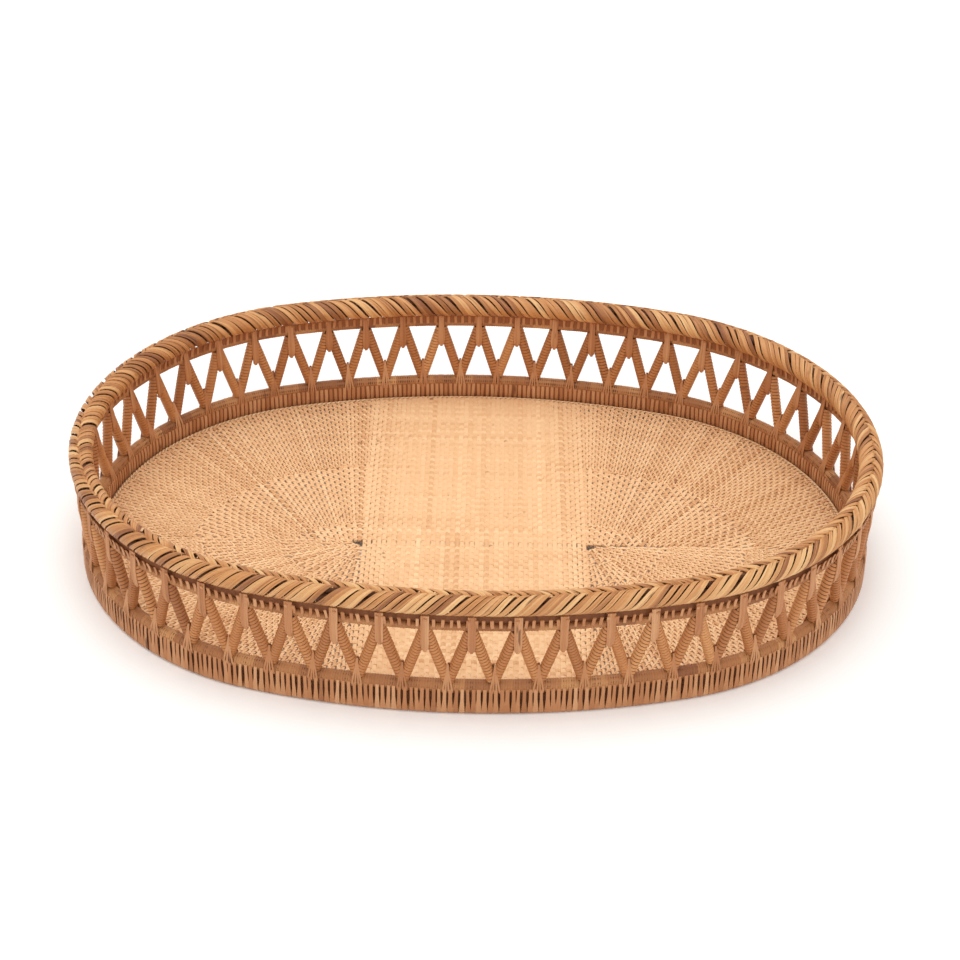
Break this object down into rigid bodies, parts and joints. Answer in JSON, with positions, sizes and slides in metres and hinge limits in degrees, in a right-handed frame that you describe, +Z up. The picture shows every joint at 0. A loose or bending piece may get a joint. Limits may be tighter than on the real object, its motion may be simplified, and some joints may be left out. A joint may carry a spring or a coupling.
{
  "type": "serving tray",
  "caption": "Oval rattan serving tray with a woven floor, a zigzag openwork wall, a braided rolled rim and a low foot ring.",
  "frame": {"origin": "centre of the oval, on the surface that the tray stands on", "axes": "+X along the length, +Y along the width, +Z up"},
  "size_m": [0.5096, 0.3658, 0.0851],
  "materials": {
    "rattan_core": "peeled rattan rod, bare and matt",
    "cane_wrap": "fine cane wound close, satin",
    "cane_strip": "flat cane strips, satin",
    "strut_cane": "cane peel wound on rods, satin",
    "rim_cane": "cane peel braided, semi-gloss",
    "floor_cane": "fine split cane weave, matt"
  },
  "bodies": {
    "root": {"foot_rod": "rattan_core", "foot_wrap": "cane_wrap", "base_strips_outer": "cane_strip", "base_strips_inner": "cane_strip", "lower_ring_rod": "rattan_core", "lower_ring_wrap": "cane_wrap", "struts_rising_left": "rattan_core", "struts_rising_right": "rattan_core", "strut_wraps_left": "strut_cane", "strut_wraps_right": "strut_cane", "bottom_ties_outer": "cane_strip", "bottom_ties_inner": "cane_strip", "top_ties_outer": "cane_strip", "top_ties_inner": "cane_strip", "upper_ring_rod": "rattan_core", "upper_ring_wrap": "cane_wrap", "rim_strips_outer": "cane_strip", "rim_strips_inner": "cane_strip", "rim_core_top": "rattan_core", "rim_core_outer": "rattan_core", "rim_core_inner": "rattan_core", "rim_braid_outer": "rim_cane", "rim_braid_inner": "rim_cane", "floor_edge_rod": "cane_wrap", "floor_stakes": "rattan_core", "floor_mat": "rattan_core", "floor_weavers_top": "floor_cane", "floor_weavers_under": "floor_cane"}
  },
  "joints": []
}
